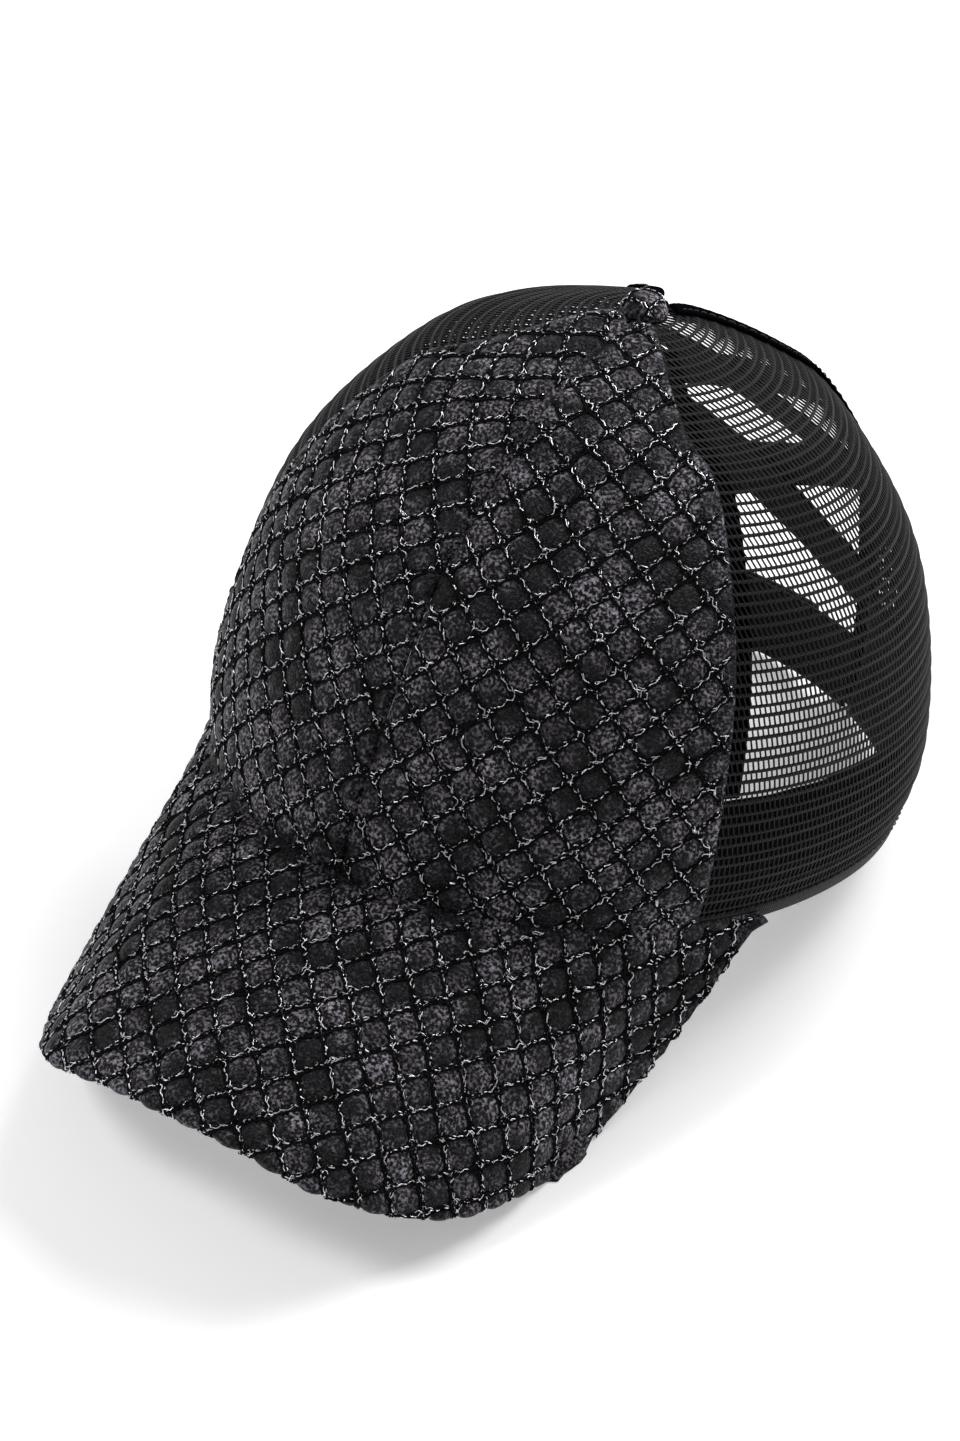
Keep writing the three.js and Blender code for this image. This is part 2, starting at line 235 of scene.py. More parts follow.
class CAP_PG_mesh(bpy.types.PropertyGroup):
    pitch: size_property("Bar pitch", "Distance between the mesh's bars", 1.6 * MM)
    tall_row: size_property("Tall row", "Height of a row with tall slots", 3.2 * MM)
    short_row: size_property("Short row", "Height of a row with short slots", 2.7 * MM)
    bar: size_property("Bar", "Width of a bar", 0.5 * MM)
    rib: size_property("Rib", "Height of a rib", 0.95 * MM)
    thickness: size_property("Thickness", "Thickness of the knitted cloth", 0.45 * MM)
    rise: size_property("Rise", "How far the strong ribs stand proud", 0.3 * MM)
    hem: size_property("Hem", "Height of the turned edge at the rim", 2.5 * MM)
    colour: colour_property("Bars", "Bars of the mesh", "#0b0a0c")
    # Painted light: the ribs' grey stands in for the soft light that they catch.
    painted_rib_light: colour_property("Ribs", "Ribs of the mesh", "#1f1d22")


class CAP_PG_trim(bpy.types.PropertyGroup):
    twill: size_property("Twill", "Pitch of the twill's ridges", 0.9 * MM)
    webbing: size_property("Webbing", "Pitch of the webbing's ribs", 1.2 * MM)
    stitch: size_property("Stitch", "Length of one stitch", 2.4 * MM)
    stitch_gap: size_property("Stitch gap", "Gap between stitches", 0.8 * MM)
    thread: size_property("Thread", "Radius of the sewing thread", 0.2 * MM)
    tape_colour: colour_property("Tape", "Bindings and seam tapes", "#060507")
    strap_colour: colour_property("Strap", "Straps and closure", "#0d0c0f")
    band_colour: colour_property("Sweatband", "Cotton of the sweatband", "#0b0a0c")
    thread_colour: colour_property("Thread", "Sewing thread", "#1b191d")


class CAP_PG_stage(bpy.types.PropertyGroup):
    floor: size_property("Floor", "Half the floor's width", 3.0)
    floor_colour: colour_property("Floor colour", "Opal acrylic", "#f7f7f8")
    floor_glow: light_property("Floor glow", "Light that comes up through the floor", 0.3)
    daylight: light_property("Daylight", "Strength of the even white light", 0.3)
    key: light_property("Key", "Power of the light from the left", 16.0, "POWER")
    back: light_property("Back", "Power of the light from behind", 42.0, "POWER")


def interpolate(value, keys, values):
    """The value of a rising table at a place between its keys."""
    index = min(max(bisect_right(keys, value) - 1, 0), len(keys) - 2)
    span = keys[index + 1] - keys[index]
    share = min(max((value - keys[index]) / span, 0), 1) if span else 0
    return values[index] + (values[index + 1] - values[index]) * share


def mix(start, end, share):
    return start + (end - start) * share


def ease(share):
    """Rises smoothly from 0 to 1."""
    share = min(max(share, 0), 1)
    return share * share * (3 - 2 * share)


def bow(share):
    """Rises from 0 to 1 at the middle of a stretch and falls back to 0 at its end."""
    return 4 * share * (1 - share)


def along(values, share):
    """A smooth curve through numbers or points, at a share of the way from the first to the last."""
    place = min(max(share, 0), 1) * (len(values) - 1)
    row = min(int(place), len(values) - 2)
    share = place - row
    ends = [2 * values[0] - values[1], *values, 2 * values[-1] - values[-2]]
    before, start, end, after = ends[row:row + 4]
    bend = ((2 * before - 5 * start + 4 * end - after) * share ** 2
            + (3 * start - before - 3 * end + after) * share ** 3)
    return 0.5 * (2 * start + (end - before) * share + bend)


@lru_cache(maxsize=None)
def level(share):
    """The crown's front, back, side and height at a share of its rows."""
    return (
        FRONT_LENGTH * along(CROWN_ROWS["front"], share),
        BACK_LENGTH * along(CROWN_ROWS["back"], share),
        HALF_WIDTH * along(CROWN_ROWS["side"], share),
        along(CROWN_ROWS["height"], share),
    )


def crown_point(angle, share):
    """A point of the crown's outside. The angle runs from the centre front towards the wearer's left."""
    front, back, side, rise = level(share)
    length = front if math.cos(angle) > 0 else back
    along_y = TOP_OFFSET * rise - length * math.cos(angle)
    return Vector((side * math.sin(angle), along_y, CROWN_HEIGHT * rise))


def crown_normal(angle, share):
    step = 1e-3
    turn = crown_point(angle + step, share) - crown_point(angle - step, share)
    climb = crown_point(angle, min(share + step, 1)) - crown_point(angle, max(share - step, 0))
    return turn.cross(climb).normalized()


def crown_spot(angle, share, out):
    """A point over the crown's outside, and the way out there."""
    normal = crown_normal(angle, share)
    return crown_point(angle, share) + normal * out, normal


def crown_at(angle, share, out):
    return crown_spot(angle, share, out)[0]


@lru_cache(maxsize=None)
def share_at(height):
    """The share of the rows at which the crown reaches a height above the rim."""
    low, high = 0.0, 1.0
    for _ in range(40):
        middle = (low + high) / 2
        if CROWN_HEIGHT * level(middle)[3] < height:
            low = middle
        else:
            high = middle
    return low


def rear_angle(across, share):
    side = level(share)[2]
    return math.pi - math.asin(min(max(across / side, -1), 1))


def turn_for(distance, angle, share):
    """The angle that a distance along the section takes up."""
    point = crown_point(angle, share)
    return distance / math.hypot(point.x, point.y - TOP_OFFSET * level(share)[3])


@lru_cache(maxsize=None)
def front_seam(share):
    return FRONT_SEAM_ANGLE * along(SEAM_ROWS["front_seam"], share)


@lru_cache(maxsize=None)
def opening_edge(share):
    return math.pi - OPENING_HALF_ANGLE * along(SEAM_ROWS["opening"], share)


def lengths_along(place):
    """Lengths from the start of a path, at even steps of it."""
    points = [place(step / STEPS) for step in range(STEPS + 1)]
    lengths = [0.0]
    for start, end in zip(points, points[1:]):
        lengths.append(lengths[-1] + (end - start).length)
    return lengths


EVEN = [step / STEPS for step in range(STEPS + 1)]


@lru_cache(maxsize=None)
def round_lengths(share):
    return lengths_along(lambda u: crown_point(math.pi * u, share))


@lru_cache(maxsize=None)
def climb_lengths(angle):
    return lengths_along(lambda v: crown_point(angle, v))


def climbed(angle, share):
    """How far up the crown a share of the rows is at an angle."""
    return interpolate(share, EVEN, climb_lengths(angle))


class Cloth:
    """Flat cloth laid on one side of the crown, with its straight grain along one meridian."""

    def __init__(self, grain):
        self.grain = grain
        self.height = climb_lengths(grain)[-1]

    def lay(self, across, up):
        share = interpolate(up, climb_lengths(self.grain), EVEN)
        start = interpolate(self.grain / math.pi, EVEN, round_lengths(share))
        return math.pi * interpolate(start + across, round_lengths(share), EVEN), share

    def flat(self, angle, share):
        lengths = round_lengths(share)
        start, end = (interpolate(turn / math.pi, EVEN, lengths) for turn in (self.grain, angle))
        return end - start, climbed(self.grain, share)


FRONT_CLOTH = Cloth(FRONT_GRAIN)
MESH_CLOTH = Cloth(MESH_GRAIN)


def front_edges(share):
    """The front panel's edges as angles. It meets its neighbour at the centre and covers the mesh's edge."""
    seam = front_seam(share)
    return turn_for(FRONT_MEETING, 0, share), seam + turn_for(SEAM_GAP, seam, share)


def net_drift(across, up, net):
    """How far the net's lattice has strayed at a place of the cloth."""
    return noise.noise_vector(Vector((across, up, 0)) / (NET_DRIFT_CELLS * net.cell)) * net.wander


def quilted(across, up, leather, net):
    """How far the leather stands out at a place of the cloth, from under the yarns to a cell's middle."""
    drift = net_drift(across, up, net)
    across, up = across + drift.x, up + drift.y
    first, second = (math.sin(math.pi * way / SQRT2 / net.cell) for way in (across + up, up - across))
    return mix(-leather.pinch, leather.puff - leather.pinch, math.sqrt(abs(first * second)))


def new_grid(columns, rows):
    mesh = bmesh.new()
    bmesh.ops.create_grid(mesh, x_segments=columns, y_segments=rows, size=0.5)
    return mesh


def laid_grid(columns, rows, place, wall=0):
    """A grid laid by place(u, v), which gives a point and its place on the flat cloth, with its wall."""
    mesh = new_grid(columns, rows)
    cloth = mesh.loops.layers.uv.new("cloth")
    flat = {}
    for vertex in mesh.verts:
        point, flat[vertex.index] = place(vertex.co.x + 0.5, vertex.co.y + 0.5)
        vertex.co = point
    for face in mesh.faces:
        for loop in face.loops:
            loop[cloth].uv = flat[loop.vert.index]
    if wall:
        thicken(mesh, wall)
    return mesh


def thicken(mesh, wall):
    """Gives an open sheet its wall on the head's side. Every point moves as far, however sharp the fold."""
    mesh.normal_update()
    if sum(face.normal.dot(face.calc_center_median() - HEAD_CENTRE) for face in mesh.faces) < 0:
        bmesh.ops.reverse_faces(mesh, faces=mesh.faces[:])
        mesh.normal_update()
    back = {vertex: vertex.co - wall * vertex.normal for vertex in mesh.verts}
    bmesh.ops.extrude_face_region(mesh, geom=mesh.faces[:] + mesh.edges[:], use_keep_orig=True)
    for vertex, place in back.items():
        vertex.co = place


def finish_piece(name, mesh, material, nodes=(), side=1):
    """Puts a piece made on the wearer's left, or its mirror image, where the lying cap has it."""
    if side < 0:
        bmesh.ops.scale(mesh, vec=(-1, 1, 1), verts=mesh.verts[:])
        bmesh.ops.reverse_faces(mesh, faces=mesh.faces[:])
    bmesh.ops.transform(mesh, matrix=SETTLE, verts=mesh.verts[:])
    for vertex in mesh.verts:
        vertex.co.z = max(vertex.co.z, FLOOR_PLAY)
    if not mesh.faces:
        raise RuntimeError(f"{name} has come out empty")
    data = bpy.data.meshes.new(name)
    mesh.to_mesh(data)
    mesh.free()
    data.materials.append(material)
    data.polygons.foreach_set("use_smooth", [True] * len(data.polygons))
    piece = bpy.data.objects.new(name, data)
    bpy.context.scene.collection.objects.link(piece)
    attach(piece, "root")
    if nodes:
        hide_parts(*nodes)
    return piece


def finish_pair(kind, node, cut, material):
    """Cuts a piece for each side of the cap, which takes the place of that side's solid."""
    for word, side in SIDES.items():
        finish_piece(f"{kind}_{node}_{word}", cut(), material, [f"{node}_{word}"], side)


def strands(name, runs):
    """Round strands along runs of points, each given as (points, radius), as one mesh."""
    bundle = bmesh.new()
    film = bundle.verts.layers.float.new("film")
    thinnest = min(radius for _, radius in runs)
    for radius in sorted({radius for _, radius in runs}):
        curve = bpy.data.curves.new(name, "CURVE")
        curve.dimensions = "3D"
        curve.bevel_depth = radius
        curve.bevel_resolution = 0
        curve.use_fill_caps = True
        for points, own_radius in runs:
            if own_radius != radius:
                continue
            spline = curve.splines.new("POLY")
            spline.points.add(len(points) - 1)
            spline.points.foreach_set("co", [value for point in points for value in (*point, 1)])
        holder = bpy.data.objects.new(name, curve)
        data = bpy.data.meshes.new_from_object(holder)
        before = len(bundle.verts)
        bundle.from_mesh(data)
        bundle.verts.ensure_lookup_table()
        for vertex in bundle.verts[before:]:
            vertex[film] = float(radius == thinnest)
        bpy.data.objects.remove(holder)
        bpy.data.curves.remove(curve)
        bpy.data.meshes.remove(data)
    bmesh.ops.remove_doubles(bundle, verts=bundle.verts[:], dist=JOIN)
    return bundle


def beside(run, side, net, swing=0.0, lift=0.0, pitch=1.0, phase=0.0):
    """A strand on one side of a run of (point, normal, knot), or midway for side 0, that winds as it goes.

    The sides part towards a knot. The winding is as wide as the swing and as high as the lift.
    """
    points = []
    travelled = 0.0
    for index, (point, normal, knot) in enumerate(run):
        before, after = run[max(index - 1, 0)][0], run[min(index + 1, len(run) - 1)][0]
        right = (after - before).cross(normal).normalized()
        travelled += (point - before).length
        angle = phase + 2 * math.pi * travelled / pitch
        aside = side * (net.apart / 2 + net.knot * knot) + swing * (1 + 2 * knot) * math.sin(angle)
        points.append(point + right * aside + normal * lift * math.cos(angle))
    return points


def band(run, upper, net, number):
    """Two black yarns side by side. One silver filament winds round the upper one, one lies on both."""
    phase = 2.4 * number
    around = net.yarn + 0.6 * net.filament
    straight = run[::2] if len(run) % 2 else run[::2] + run[-1:]
    raised = [(point + normal * around, normal, knot) for point, normal, knot in run]
    return [
        (beside(straight, -upper, net), net.yarn),
        (beside(straight, upper, net), net.yarn),
        (beside(run, upper, net, around, around, net.wind, phase), net.filament),
        (beside(raised, 0.4 * upper, net, 0.3 * net.apart, 0, 0.8 * net.wind, phase), net.filament),
    ]


def net_bands(net, reach, place):
    """The bands of a net as (run, side), over a cloth that reaches as far as given, laid by place."""
    step = net.wind / 6
    tear, fewest = 2.5 * step, 5
    lines = range(-int(reach / net.cell) - 1, int(reach / net.cell) + 2)
    found = []
    for family in (0, 1):
        for line in lines:
            over = 1 if (line + family) % 2 else -1
            run = []
            for count in range(int(-reach / step), int(reach / step) + 2):
                travelled = count * step
                swing = math.cos(math.pi * travelled / net.cell)
                fixed = line * net.cell
                first, second = (fixed, travelled) if family == 0 else (travelled, fixed)
                across, up = (first - second) / SQRT2, (first + second) / SQRT2
                # the lattice drifts, so the band drifts the other way
                drift = net_drift(across, up, net)
                laid = place(across - drift.x, up - drift.y, net.weave * over * swing)
                torn = not laid or bool(run) and (laid[0] - run[-1][0]).length > tear
                if torn or count > reach / step:
                    if len(run) >= fewest:
                        found.append((run, 1 if family == 0 else -1))
                    run = []
                if laid:
                    run.append((*laid, abs(swing) ** 4))
    return found


def net_piece(name, net, reach, place, side=1):
    strings = []
    for number, (run, upper) in enumerate(net_bands(net, reach, place)):
        strings += band(run, upper, net, number)
    return finish_piece(name, strands(name, strings), lurex_yarn(), side=side)


def leather_out(across, up, first, last, leather, net):
    """How far the front stands out of the crown. It dips to the centre seam and lies over the mesh."""
    out = mix(-leather.groove, quilted(across, up, leather, net), ease(first / SEAM_DIP))
    return mix(0.1 * MM, out, ease(last / SEAM_LAP))


def front_place(angle, share):
    """A place of the front panel on its flat cloth, and its distances to the centre seam and to the mesh."""
    across, up = FRONT_CLOTH.flat(angle, share)
    start, end = front_edges(share)
    return across, up, across - FRONT_CLOTH.flat(start, share)[0], FRONT_CLOTH.flat(end, share)[0] - across


class CAP_OT_front_panels(bpy.types.Operator):
    """Two front panels of crackled faux leather, swollen in each cell of the net."""

    bl_idname = "cap.front_panels"
    bl_label = "Front panels"

    def execute(self, context):
        leather, net = context.scene.cap_leather, context.scene.cap_net

        def place(u, v):
            start, end = front_edges(v)
            angle = mix(start, end, u)
            across, up, first, last = front_place(angle, v)
            return crown_at(angle, v, leather_out(across, up, first, last, leather, net)), (across, up)

        def cut():
            return laid_grid(78, 138, place, leather.thickness)

        finish_pair("leather", "front_panel", cut, crackled_faux_leather())
        return {"FINISHED"}


class CAP_OT_front_net(bpy.types.Operator):
    """The coarse net of twisted yarn with a silver filament, over the front panels."""

    bl_idname = "cap.front_net"
    bl_label = "Front net"

    def execute(self, context):
        leather, net = context.scene.cap_leather, context.scene.cap_net

        def place(across, up, lift):
            if not 0.5 * MM < up < FRONT_CLOTH.height - 5 * MM:
                return None
            angle, share = FRONT_CLOTH.lay(across, up)
            flat_across, _, first, last = front_place(angle, share)
            if min(first, last) < 0.7 * MM or abs(flat_across - across) > 0.2 * MM:
                return None
            sunk = mix(net.yarn - leather.groove, net.height, ease(first / SEAM_DIP))
            return crown_spot(angle, share, sunk + lift)

        for word, side in SIDES.items():
            net_piece(f"net_front_{word}", net, FRONT_NET_REACH, place, side)
        return {"FINISHED"}


class CAP_OT_mesh_panels(bpy.types.Operator):
    """The side panels of pierced trucker mesh, with rows of tall and short slots in turn."""

    bl_idname = "cap.mesh_panels"
    bl_label = "Mesh panels"

    def execute(self, context):
        def cut():
            return pierced_cloth(context.scene.cap_mesh)

        finish_pair("knit", "mesh_panel", cut, trucker_mesh())
        return {"FINISHED"}


def pierced_cloth(knit):
    """Mesh cloth cut flat with its slots, then laid on the crown between its seams and given its wall."""
    half_columns = 2 * math.ceil(MESH_REACH / knit.pitch)
    heights = [0.0]
    while heights[-1] < MESH_CLOTH.height:
        heights.append(heights[-1] + (knit.tall_row if len(heights) % 2 else knit.short_row))
    rows = len(heights) - 1
    # the rows are squashed while the slots are inset, so that one inset leaves thin bars and thick ribs
    squash = knit.bar / knit.rib
    mesh = new_grid(2 * half_columns, rows)
    rib = mesh.verts.layers.float.new("rib")
    places = {}
    for vertex in mesh.verts:
        column = round((vertex.co.x + 0.5) * 2 * half_columns) - half_columns
        row = round((vertex.co.y + 0.5) * rows)
        places[vertex] = (column, row)
        # The rib weight also sets the painted light in the mesh's colour, under half on the low ribs.
        vertex[rib] = WEAK_RIB if row % 2 else 1.0
        vertex.co = (column * knit.pitch / 2, heights[row] * squash, 0)
    joints = []
    for edge in mesh.edges:
        (column, row), (other_column, other_row) = (places[vertex] for vertex in edge.verts)
        if column == other_column and not edge.is_boundary and (column + min(row, other_row)) % 2:
            joints.append(edge)
    bmesh.ops.dissolve_edges(mesh, edges=joints)

    # what lies past the seams is drawn in to them
    for vertex in mesh.verts:
        angle, share = MESH_CLOTH.lay(vertex.co.x, vertex.co.y / squash)
        start, end = front_seam(share), opening_edge(share)
        if not start <= angle <= end:
            vertex.co.x = MESH_CLOTH.flat(min(max(angle, start), end), share)[0]
    slivers = [face for face in mesh.faces if face.calc_area() < 1e-9]
    bmesh.ops.delete(mesh, geom=slivers, context="FACES")
    least = 0.45 * knit.pitch * knit.short_row * squash
    lowest, highest = knit.hem * squash, (MESH_CLOTH.height - 2 * MM) * squash
    pierced = [
        face for face in mesh.faces
        if face.calc_area() > least and all(lowest < vertex.co.y < highest for vertex in face.verts)
    ]
    bmesh.ops.inset_individual(mesh, faces=pierced, thickness=knit.bar / 2, use_even_offset=True)
    # Round the slots the rib weight is 0: painted shade, as dark as the bars, in the mesh's colour there.
    for face in pierced:
        for vertex in face.verts:
            vertex[rib] = 0.0
    bmesh.ops.delete(mesh, geom=pierced, context="FACES")
    cloth = mesh.loops.layers.uv.new("cloth")
    for face in mesh.faces:
        for loop in face.loops:
            loop[cloth].uv = (loop.vert.co.x, loop.vert.co.y / squash)
    for vertex in mesh.verts:
        angle, share = MESH_CLOTH.lay(vertex.co.x, vertex.co.y / squash)
        proud = knit.rise * max(vertex[rib] - WEAK_RIB, 0) / (1 - WEAK_RIB)
        vertex.co = crown_at(angle, share, proud - CLOTH_SINK)
    bmesh.ops.remove_doubles(mesh, verts=mesh.verts[:], dist=0.02 * MM)
    thicken(mesh, knit.thickness)
    return mesh


class CAP_OT_seam_tapes(bpy.types.Operator):
    """The tapes inside the seams between the front and the mesh, seen through the mesh."""

    bl_idname = "cap.seam_tapes"
    bl_label = "Seam tapes"

    def execute(self, context):
        low, high = share_at(SWEATBAND_HEIGHT + TAPE_START), share_at(CROWN_HEIGHT - TAPE_END)

        def place(u, v):
            share = mix(low, high, v)
            across = mix(-TAPE_WIDTH / 2, TAPE_WIDTH / 2, u)
            seam = front_seam(share)
            angle = seam + turn_for(across, seam, share)
            out = -LEATHER_WALL - SEAM_GAP - TAPE_HOLLOW * bow(u)
            return crown_at(angle, share, out), (across, climbed(FRONT_SEAM_ANGLE, share))

        def cut():
            return laid_grid(14, 150, place, TAPE_WALL)

        finish_pair("twill", "seam_tape", cut, twill_tape())
        return {"FINISHED"}


def binding_section(u):
    """The folded tape's outside as (across, out, length), from its outer leg round to the inner leg."""
    radius = SEAM_GAP + BINDING_WALL + MESH_WALL / 2
    fold = math.pi * radius
    length = u * (2 * BINDING_LEG + fold)
    if length < BINDING_LEG:
        return length - BINDING_LEG, radius - MESH_WALL / 2, length
    if length < BINDING_LEG + fold:
        angle = (length - BINDING_LEG) / radius
        return radius * math.sin(angle), radius * math.cos(angle) - MESH_WALL / 2, length
    return BINDING_LEG + fold - length, -radius - MESH_WALL / 2, length


def binding_top():
    """The share of the rows at which the bindings end."""
    for step in range(STEPS, 0, -1):
        share = step / STEPS
        point = crown_point(opening_edge(share), share)
        if math.hypot(point.x, point.y - TOP_OFFSET) >= BINDING_TOP_RADIUS:
            return share
    return 1.0


def binding_point(across, out, share):
    edge = opening_edge(share)
    return crown_at(edge + turn_for(across, edge, share), share, out)


class CAP_OT_bindings(bpy.types.Operator):
    """The smooth black tape folded round both edges of the opening."""

    bl_idname = "cap.bindings"
    bl_label = "Bindings"

    def execute(self, context):
        top = binding_top()

        def place(u, v):
            across, out, length = binding_section(1 - u)
            share = v * top
            pucker = PUCKER_DEPTH * math.sin(2 * math.pi * v * PUCKERS) * bow(u)
            return binding_point(across, out + pucker, share), (length, climbed(BINDING_GRAIN, share))

        def cut():
            return laid_grid(26, 170, place, BINDING_WALL)

        finish_pair("twill", "binding", cut, twill_tape())
        return {"FINISHED"}


def tucked_end(height):
    """How far beside the centre back something ends that is tucked under the binding at a height."""
    share = share_at(height)
    edge = opening_edge(share)
    return crown_point(edge - turn_for(STRAP_TUCK, edge, share), share).x


TUCK_DEPTH = MESH_WALL + SEAM_GAP + BINDING_WALL + SEAM_GAP + TUCK_GAP
MIDDLE_END = tucked_end(STRAP_ANCHORS["middle"])
TAB_START = tucked_end(TAB_LIFT + TAB_HEIGHT / 2)


def taut_point(across, height, depth):
    """A point of the taut sheet that the straps lie in, inside the dome between the opening's edges."""
    share = share_at(height)
    slack = max(0, 1 - (across / MIDDLE_END) ** 2)
    return crown_at(rear_angle(across, share), share, -depth - STRAP_SAG * slack)


def strap_place(right, left, depth):
    """The sheet of a strap from an anchor on the wearer's right to one on the left."""
    def path(u):
        return (mix(-tucked_end(right), tucked_end(left), u), mix(right, left, u) + STRAP_RISE * bow(u))

    length = (taut_point(*path(1), depth) - taut_point(*path(0), depth)).length

    def place(u, v):
        step = 0.01
        across, height = path(u)
        ahead = taut_point(*path(u + step), depth) - taut_point(*path(u - step), depth)
        share = share_at(height)
        aside = ahead.cross(crown_normal(rear_angle(across, share), share)).normalized()
        offset = (v - 0.5) * STRAP_WIDTH
        point = taut_point(across - offset * aside.x, height - offset * aside.z, depth)
        return point, (offset, u * length)

    return place


class CAP_OT_straps(bpy.types.Operator):
    """The elastic straps that cross the opening."""

    bl_idname = "cap.straps"
    bl_label = "Cross straps"

    def execute(self, context):
        courses = (("low", "middle", 0), ("middle", "low", 1), ("middle", "high", 0), ("high", "middle", 1))
        for number, (right, left, layer) in enumerate(courses, 1):
            depth = TUCK_DEPTH + layer * (STRAP_WALL + STRAP_LAYER_GAP)
            place = strap_place(STRAP_ANCHORS[right], STRAP_ANCHORS[left], depth)
            strap = laid_grid(90, 14, place, STRAP_WALL)
            node = f"cross_strap_{number}"
            finish_piece(f"webbing_strap_{number}", strap, webbing(), [node])
        return {"FINISHED"}


def tab_place(side, layer):
    depth = TUCK_DEPTH + layer * (TAB_WALL + STRAP_LAYER_GAP)

    def place(u, v):
        across = mix(TAB_START, -TAB_OVERLAP, u)
        share = share_at(TAB_LIFT + v * TAB_HEIGHT)
        half_flat = TAB_FLAT / 2
        straight = crown_at(rear_angle(side * half_flat, share), share, -depth)
        point = crown_at(rear_angle(side * across, share), share, -depth)
        if abs(across) < half_flat:
            point = Vector((side * across, straight.y, straight.z))
        return point, (v * TAB_HEIGHT, u * (TAB_START + TAB_OVERLAP))

    return place


class CAP_OT_closure(bpy.types.Operator):
    """The two overlapping tabs that close the rim at the back."""

    bl_idname = "cap.closure"
    bl_label = "Closure"

    def execute(self, context):
        for word, side, layer in (("outer", -1, 0), ("inner", 1, 1)):
            tab = laid_grid(90, 20, tab_place(side, layer), TAB_WALL)
            finish_piece(f"webbing_tab_{word}", tab, webbing(), [f"closure_tab_{word}"])
        return {"FINISHED"}


class CAP_OT_sweatband(bpy.types.Operator):
    """The cotton band inside the rim."""

    bl_idname = "cap.sweatband"
    bl_label = "Sweatband"

    def execute(self, context):
        rear_end = TAB_START + 2 * SEAM_GAP
        length = round_lengths(share_at(0))[-1]

        def place(u, v):
            share = share_at(v * SWEATBAND_HEIGHT)
            end = rear_angle(rear_end, share)
            ripple = RIPPLE_DEPTH * math.sin(2 * math.pi * u * RIPPLES) * v
            point = crown_at(mix(-end, end, u), share, -SWEATBAND_DEPTH - SWEATBAND_PLAY + ripple)
            return point, (v * SWEATBAND_HEIGHT, 2 * length * u)

        cotton = laid_grid(300, 18, place, SWEATBAND_WALL - SWEATBAND_PLAY)
        finish_piece("cotton_sweatband", cotton, cotton_twill(), ["sweatband"])
        return {"FINISHED"}


@lru_cache(maxsize=None)
def peak_seat(place):
    height = mix(PEAK_SEAT_CENTRE, PEAK_SEAT_END, place ** 2)
    point = crown_at(place * PEAK_END_ANGLE, share_at(height), SEAM_GAP)
    return Vector((point.x, point.y, height))


@lru_cache(maxsize=None)
def peak_edge_points():
    half = [
        Vector((across * PEAK_HALF_WIDTH, -FRONT_LENGTH - reach * PEAK_REACH, -drop * PEAK_DROP))
        for across, reach, drop in PEAK_EDGE_ROWS
    ]
    away = Vector((math.sin(PEAK_END_ANGLE), -math.cos(PEAK_END_ANGLE), 0))
    half.append(peak_seat(1.0) + away * PEAK_END_REACH)
    return [Vector((-point.x, point.y, point.z)) for point in reversed(half[1:])] + half


@lru_cache(maxsize=None)
def peak_edge(u):
    return along(peak_edge_points(), u)


def peak_top(u, v):
    place = 2 * u - 1
    point = peak_seat(place).lerp(peak_edge(u), v)
    point.z += PEAK_CROWN * bow(v) * (1 - place ** PEAK_CROWN_FADE)
    return point


def peak_frame(u, v):
    """The peak's top at a place, with its normal and its way out towards the edge."""
    step = 0.004
    sideways = peak_top(min(u + step, 1), v) - peak_top(max(u - step, 0), v)
    away = (peak_top(u, min(v + step, 1)) - peak_top(u, max(v - step, 0))).normalized()
    normal = sideways.cross(away).normalized()
    if normal.z < 0:
        normal.negate()
    return peak_top(u, v), normal, away


def peak_at(u, beyond, v, out):
    """A point over the peak, or, where it is beyond the top, round the edge, and the way out there."""
    top, normal, away = peak_frame(u, v)
    radius = PEAK_WALL / 2
    turned = normal * math.cos(beyond / radius) + away * math.sin(beyond / radius)
    return top - normal * radius + turned * (radius + out), turned


PEAK_COLUMNS, PEAK_ROWS = 56, 14
PEAK_PLACES = [
    (row, column)
    for row in range(PEAK_ROWS + 1)
    for column in range(PEAK_COLUMNS + 1)
]


@lru_cache(maxsize=None)
def peak_cloth():
    """The peak's cover laid flat: its points, moved until every length is nearly that of the peak."""
    columns, rows = PEAK_COLUMNS + 1, PEAK_ROWS + 1
    solid = np.array([peak_top(column / PEAK_COLUMNS, row / PEAK_ROWS) for row, column in PEAK_PLACES])
    solid = solid.reshape(rows, columns, 3)
    steps = np.linalg.norm(np.diff(solid, axis=1), axis=2)
    across = np.concatenate([np.zeros((rows, 1)), np.cumsum(steps, axis=1)], axis=1)
    across -= across[:, PEAK_COLUMNS // 2:PEAK_COLUMNS // 2 + 1]
    middle = solid[:, PEAK_COLUMNS // 2]
    slope = (middle[-1] - middle[0]) / np.linalg.norm(middle[-1] - middle[0])
    flat = np.stack([across, -(solid - middle[0]) @ slope], axis=2).reshape(-1, 2)
    number = np.arange(rows * columns).reshape(rows, columns)
    ties = np.concatenate([
        np.stack([start.ravel(), end.ravel()], axis=1)
        for start, end in (
            (number[:, :-1], number[:, 1:]),
            (number[:-1], number[1:]),
            (number[:-1, :-1], number[1:, 1:]),
            (number[:-1, 1:], number[1:, :-1]),
        )
    ])
    points = solid.reshape(-1, 3)
    lengths = np.linalg.norm(points[ties[:, 0]] - points[ties[:, 1]], axis=1)
    share = 0.9 / np.bincount(ties.ravel())[:, None]
    rounds = 2500
    for _ in range(rounds):
        apart = flat[ties[:, 1]] - flat[ties[:, 0]]
        now = np.linalg.norm(apart, axis=1)
        pull = apart * ((now - lengths) / now)[:, None] / 2
        move = np.zeros_like(flat)
        np.add.at(move, ties[:, 0], pull)
        np.add.at(move, ties[:, 1], -pull)
        flat += move * share
    return flat.reshape(rows, columns, 2)


